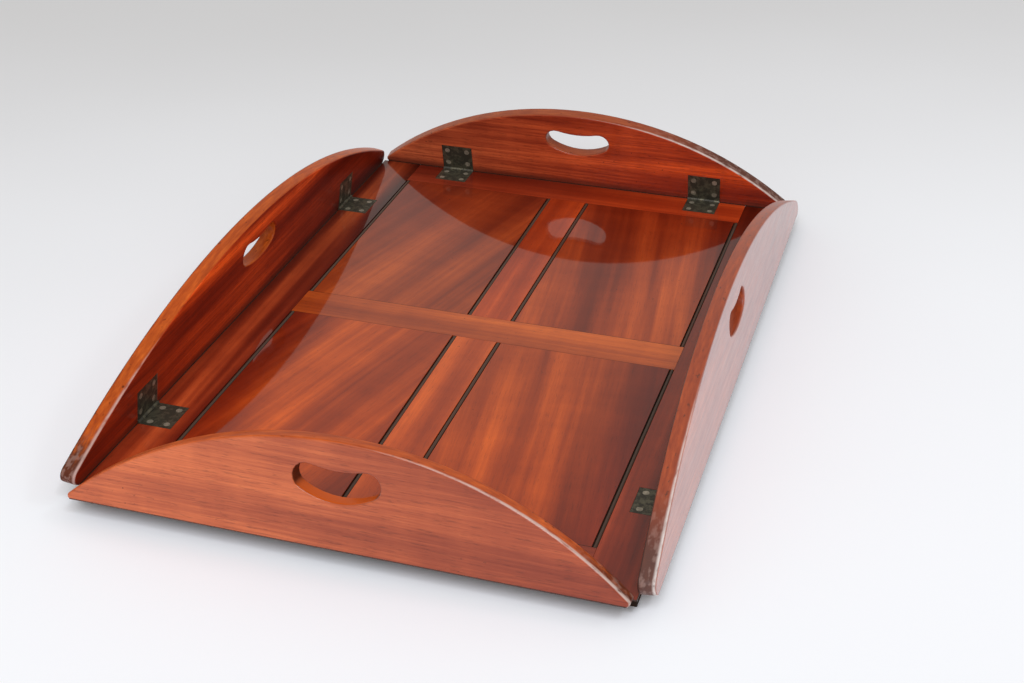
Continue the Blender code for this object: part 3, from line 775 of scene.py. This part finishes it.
# Strengths of the painted shade line and of the painted highlight, and the blur of its edge
ARRIS_SHADE_WEIGHT = 0.75
HIGHLIGHT_WEIGHT = 0.85
BAND_BLUR = 0.0030
# The inside of the near hand-hold, painted lit where it faces up and shaded at its sides: its
# reach from the middle and up the board
HOLD_HALF = (0.0440, 0.0480)
HOLD_TOP = (0.0910, 0.0940)
HOLD_TURN = (0.45, 0.95)
HOLD_WEIGHT = 0.9
HOLD_SHADE = colour(0.060, 0.009, 0.003)
HOLD_LIT = colour(0.640, 0.095, 0.005)
UP_BOARD = (0, 1, 0)
OUT_OF_BOARD = (0, 0, 1)


def facing_of(finish, frame_of_board, axis):
    """One where the surface faces along the board's axis, and minus one where it faces away."""
    normal = finish.add("ShaderNodeTexCoord", out="Normal")
    direction = frame_of_board.to_3x3() @ Vector(axis)
    return finish.vector("DOT_PRODUCT", normal, direction, out="Value")


def from_to(finish, place, start, full):
    """Nought before start and one past full, whichever way round they lie."""
    sign = 1.0 if full > start else -1.0
    return finish.step(place * sign, start * sign, full * sign)


def hold_light_and_shade(finish, board, body, x, y, rim):
    """The inside of the hand-hold with painted light and shade: gold at its foot, where it faces
    up, and nearly black at its sides.
    """
    within = (1.0 - finish.step(abs(x), *HOLD_HALF)) * (1.0 - finish.step(y, *HOLD_TOP)) * rim
    upward = finish.step(facing_of(finish, board, UP_BOARD), *HOLD_TURN)
    lit_and_shaded = finish.mix(upward, HOLD_SHADE, HOLD_LIT)
    return finish.mix(within * HOLD_WEIGHT, body, lit_and_shaded)


def worn_rim(finish, place, seed, rim_colour, streak):
    """The rim's colour, streaked along the grain and dented."""
    worn = finish.vector("MULTIPLY", rim_colour[:3],
                         density(finish, (streak - MEAN) * STREAK_SHARE))
    dents = finish.noise(place, DENTS, seed + DENT_SEED, detail=2.0)
    return finish.mix(finish.step(dents, *DENT_EDGE) * DENT_WEIGHT, worn, SPECK_AND_SHADE_DARK)


def shaded_and_highlit_arris(finish, body, x, z, facing, rim, streak, painted_highlight):
    """One arris of the rim gets a line of painted shade, and the other a painted highlight."""
    which, start, full, width, pale = painted_highlight
    shade_line = (finish.step(facing * -which, *ARRIS_TURN)
             * (1.0 - finish.step(facing * -which, *ARRIS_END)))
    body = finish.mix(shade_line * ARRIS_SHADE_WEIGHT, body, SPECK_AND_SHADE_DARK)
    depth = -z if which > 0 else z + board_top
    band = finish.step(from_to(finish, x, start, full) * width - depth, 0.0, BAND_BLUR)
    highlight_on_rim = band * rim * finish.step(streak, *HIGHLIGHT_BREAKUP)
    return finish.mix(highlight_on_rim * HIGHLIGHT_WEIGHT, body, pale)


print("waves to the metre:", {"streaks": STREAKS, "dents": DENTS, "chips": CHIPS})

# %% [markdown]
# A flap gets the same figured wood as the base, with finer stripes, and a softer coat, since
# its faces have lost more of their polish. The marks go on top in this order: the worn rim and
# the near hand-hold's painted light and shade first, then painted shade with some dirt along
# the foot, then knocks, and last the painted shade and highlight on the arrises.

# %% The flaps' wood
FLAP_COAT = {"Coat_Roughness": 0.12, "Coat_IOR": 1.5}
FLAP_STRIPES = (9.0, 330.0, 330.0)
FLAP_ENDS = (-0.30, 0.30)
FLAP_SPECKS = 0.75
FLAP_ROUGHNESS = 0.38
STREAK_ROUGHNESS = 0.2
KNOCKED_ROUGHNESS = 0.15
FLAP_BUMP = (0.20, 0.0003)
FLAP_PORE_DEPTH = 0.6
FLAP_SPECK_DEPTH = 1.5
# How far up the inner face the painted shade at the foot reaches, and how strong it is
FOOT_SHADE_BAND = (0.0015, 0.0120)
FOOT_SHADE_WEIGHT = 0.50


def flap_wood(side):
    """A flap: figured wood, a worn rim, a knocked end, and painted shade and highlights, under a
    softer coat.
    """
    look = FLAPS[side]
    seed = look["seed"]
    finish = Finish("flap_" + side + "_wood", Specular_IOR_Level=look["shine"], **FLAP_COAT)
    board = flap_board(side)
    place = board_space(finish, board)
    x, y, z = finish.split(place)
    shade, stripe, pore = figure(finish, place, seed, look["boldness"], look["stripes"],
                                 FLAP_STRIPES)
    ends = finish.mix(finish.step(x, *FLAP_ENDS), *look["ends"])
    body = finish.vector("MULTIPLY", ends, shade)
    body = finish.mix(pore * look["pores"], body, PORE_DARK)
    speck = marks(finish, place, seed)
    body = finish.mix(speck * FLAP_SPECKS, body, SPECK_AND_SHADE_DARK)

    facing = facing_of(finish, board, OUT_OF_BOARD)
    rim = 1.0 - finish.step(facing * facing, *RIM_TURN)
    streak = finish.noise(place, STREAKS, seed + STREAK_SEED, detail=4.0, roughness=0.6)
    worn = worn_rim(finish, place, seed, look["rim"], streak)
    body = finish.mix(rim * RIM_WEIGHT, body, worn)
    # The near hand-hold's inside gets painted light where it faces up and painted shade at its
    # sides
    if side == "near":
        body = hold_light_and_shade(finish, board, body, x, y, rim)

    # Painted shade, with some dirt, at the very foot, and a softer band of it up the inner face
    crevice = 1.0 - finish.step(y, CREVICE, CREVICE + EDGE_BLUR)
    body = finish.mix(crevice * CREVICE_WEIGHT, body, GRIME_AND_SHADE)
    foot_shade = (1.0 - finish.step(y, *FOOT_SHADE_BAND)) * finish.step(facing, *FACE_TURN)
    body = finish.mix(foot_shade * FOOT_SHADE_WEIGHT, body, GRIME_AND_SHADE)

    # Knocked grey ends, whose lighter chips are partly a painted highlight
    grey = from_to(finish, x + (streak - MEAN) * KNOCKED_WAVER, *look["knocked"]) * rim
    chips = finish.noise(place, CHIPS, seed + CHIP_SEED, detail=2.0)
    knocks_and_glints = finish.mix(finish.step(chips, *CHIP_EDGE), KNOCKED_DARK, KNOCKED_GREY_AND_GLINT)
    body = finish.mix(grey * KNOCKED_WEIGHT, body, knocks_and_glints)
    # A painted shade line along one arris of the rim and a painted highlight along the other
    body = shaded_and_highlit_arris(finish, body, x, z, facing, rim, streak, look["painted_highlight"])

    finish.feed("Base Color", body)
    finish.feed("Roughness", FLAP_ROUGHNESS + (streak - MEAN) * STREAK_ROUGHNESS
                + grey * KNOCKED_ROUGHNESS)
    finish.feed("Coat Weight", (1.0 - rim * look["rim_lost"]) * look["coat"])
    height = stripe - pore * FLAP_PORE_DEPTH - speck * FLAP_SPECK_DEPTH + streak * rim
    finish.bump(*FLAP_BUMP, height)
    return finish


for side in SIDES:
    flap_wood(side).put_on(pieces["flap_" + side])
print("flaps painted:", len(FLAPS))

# %% [markdown]
# ## Brass and steel
#
# Two centuries of polish and damp have turned the brass a grey olive brown, with green in the
# hollows and a little yellow where a cloth still reaches. Patina is a skin on a metal, so the
# metallic value itself varies: low under the dull skin, high where it is rubbed through.

# %% The metals
CLOUDS = (120.0, 120.0, 120.0)
PITS = (900.0, 900.0, 900.0)
PIT_SEED = 5.0
CLOTH_EDGE = (0.44, 0.62)
PIT_EDGE = (0.52, 0.70)
GREEN_WEIGHT = 0.6
SKIN_METAL, BARE_METAL = 0.25, 0.65
SKIN_ROUGHNESS, BARE_ROUGHNESS = 0.52, 0.34
PIT_ROUGHNESS = 0.2
METAL_BUMP = (0.35, 0.0002)
CLOUD_HEIGHT = 0.5
DUST = (300.0, 300.0, 300.0)


def old_metal(name, seed, skin, bare, hollows):
    """A dull skin with patches rubbed bare, and another colour in its hollows."""
    finish = Finish(name)
    place = finish.object_place()
    clouds = finish.noise(place, CLOUDS, seed, detail=4.0, roughness=0.65)
    pits = finish.noise(place, PITS, seed + PIT_SEED, detail=3.0, roughness=0.6)
    rub = finish.step(clouds, *CLOTH_EDGE)
    body = finish.mix(rub, skin, bare)
    hollow = finish.step(pits, *PIT_EDGE)
    finish.feed("Base Color", finish.mix(hollow * GREEN_WEIGHT, body, hollows))
    finish.feed("Metallic", SKIN_METAL + rub * (BARE_METAL - SKIN_METAL))
    finish.feed("Roughness", SKIN_ROUGHNESS - rub * (SKIN_ROUGHNESS - BARE_ROUGHNESS)
                + (pits - MEAN) * PIT_ROUGHNESS)
    finish.bump(*METAL_BUMP, pits + clouds * CLOUD_HEIGHT)
    return finish


brass = old_metal("patinated_brass", 3.0, colour(0.036, 0.030, 0.019),
                  colour(0.135, 0.120, 0.080), colour(0.030, 0.038, 0.024))
steel = old_metal("old_screws", 9.0, colour(0.210, 0.180, 0.130),
                  colour(0.450, 0.390, 0.300), colour(0.090, 0.085, 0.060))
spring_steel = old_metal("blued_spring", 15.0, colour(0.040, 0.042, 0.050),
                         colour(0.120, 0.120, 0.130), colour(0.060, 0.030, 0.018))
for name, thing in pieces.items():
    if name.endswith("_spring"):
        spring_steel.put_on(thing)
    elif name.startswith("hinge_"):
        brass.put_on(thing)
for piece in screw_pieces:
    steel.put_on(piece)

# The bars' colour is painted shade for the notch, with wax and dust
wax_and_shade = Finish("dark_wax_and_shade", Roughness=0.6)
dust = wax_and_shade.noise(wax_and_shade.object_place(), DUST, 4.0)
wax_and_shade.feed("Base Color", wax_and_shade.mix(dust, GRIME_AND_SHADE, BEAD_DARK))
for piece in shade_bar_pieces:
    wax_and_shade.put_on(piece)
print("hinge pieces painted:", sum(name.startswith("hinge_") for name in pieces))

# %% [markdown]
# ## Floor
#
# The tray stands on a seamless pale sweep, so one large floor will do. It greys as it runs
# back out of the light, and a faint cloudiness keeps it from looking like a sheet of glass.

# %% Floor
FLOOR_HALF = 6.0
FLOOR_CLOUDS = (1.5, 1.5, 1.5)
CLOUD_SHARE = 0.3
FLOOR_NEAR = colour(0.950, 0.956, 0.990)
FLOOR_FAR = colour(0.600, 0.590, 0.590)
AWAY = (-0.50, 1.00, 0.00)
GREYING = (-0.6, 1.6)


def make_floor():
    """A flat floor whose colour greys as it runs away from the camera."""
    bm = bmesh.new()
    bmesh.ops.create_grid(bm, x_segments=1, y_segments=1, size=FLOOR_HALF)
    floor = new_piece(bm, "floor")
    finish = Finish("pale_sweep", Roughness=0.9, Specular_IOR_Level=0.2)
    place = finish.object_place()
    clouds = finish.noise(place, FLOOR_CLOUDS, 2.0, detail=2.0)
    back = finish.vector("DOT_PRODUCT", place, AWAY, out="Value") + (clouds - MEAN) * CLOUD_SHARE
    finish.feed("Base Color", finish.mix(finish.step(back, *GREYING), FLOOR_NEAR, FLOOR_FAR))
    finish.put_on(floor)
    return floor


print("floor:", 2 * FLOOR_HALF, "m wide,", len(make_floor().data.polygons), "face")

# %% [markdown]
# ## Light
#
# A broad soft lamp stands high in front and gives most of the light, and a pale sky all round
# fills the shadows. Two small lamps add the sparkle along the arrises: one high up for the end
# flaps, one to the right for the side flaps. All are suns, so each lights evenly. The sky is a
# little warm and the lamps a little cool, and together they are nearly neutral.

# %% Light
SKY = (1.0, 0.965, 0.89, 1.0)
SKY_STRENGTH = 0.52
LAMP_COLOUR = (0.885, 0.930, 1.000)
world = bpy.data.worlds.new("sky")
bpy.context.scene.world = world
world.use_nodes = True
background = world.node_tree.nodes["Background"]
background.inputs["Color"].default_value = SKY
background.inputs["Strength"].default_value = SKY_STRENGTH


def lamp(name, from_where, energy, width):
    """A sun that stands in a direction and is as wide as an angle in degrees."""
    light = bpy.data.lights.new(name, "SUN")
    light.energy = energy
    light.angle = math.radians(width)
    light.color = LAMP_COLOUR
    sun = bpy.data.objects.new(name, light)
    sun.rotation_mode = "QUATERNION"
    sun.rotation_quaternion = Vector(from_where).to_track_quat("Z", "Y")
    bpy.context.scene.collection.objects.link(sun)
    print(name, "from", from_where)


lamp("broad_lamp", (0.15, -0.62, 0.78), 1.68, 45.0)
lamp("top_lamp", (0.43, -0.25, 0.87), 0.33, 10.0)
lamp("side_lamp", (0.70, 0.26, 0.66), 0.17, 8.0)

# %% [markdown]
# ## Camera
#
# The camera stands at the tray's near right corner, about 30 degrees above it. Its place and
# lens come from fitting straight and curved edges of the tray, so all of its lines meet the
# same vanishing points as the tray's do.

# %% Camera
FOCAL_MM = 56.29
SENSOR_MM = 36.0
STAND = Vector((0.4859, -1.43945, 0.8845))
RIGHT = Vector((0.95449, 0.29823, -0.00250))
DOWN = Vector((0.14774, -0.48010, -0.86468))
AHEAD = Vector((-0.25908, 0.82496, -0.50232))

camera_data = bpy.data.cameras.new("camera")
camera_data.lens = FOCAL_MM
camera_data.sensor_width = SENSOR_MM
camera_data.dof.use_dof = False
camera = bpy.data.objects.new("camera", camera_data)
bpy.context.scene.collection.objects.link(camera)
axes = Matrix((RIGHT, -DOWN, -AHEAD)).transposed().to_4x4()
camera.matrix_world = Matrix.Translation(STAND) @ axes
bpy.context.scene.camera = camera

bpy.context.scene.view_settings.view_transform = "Standard"
print("camera height:", round(STAND.z, 3), "m")

# %% [markdown]
# The dressed tray must be no larger than the frame.
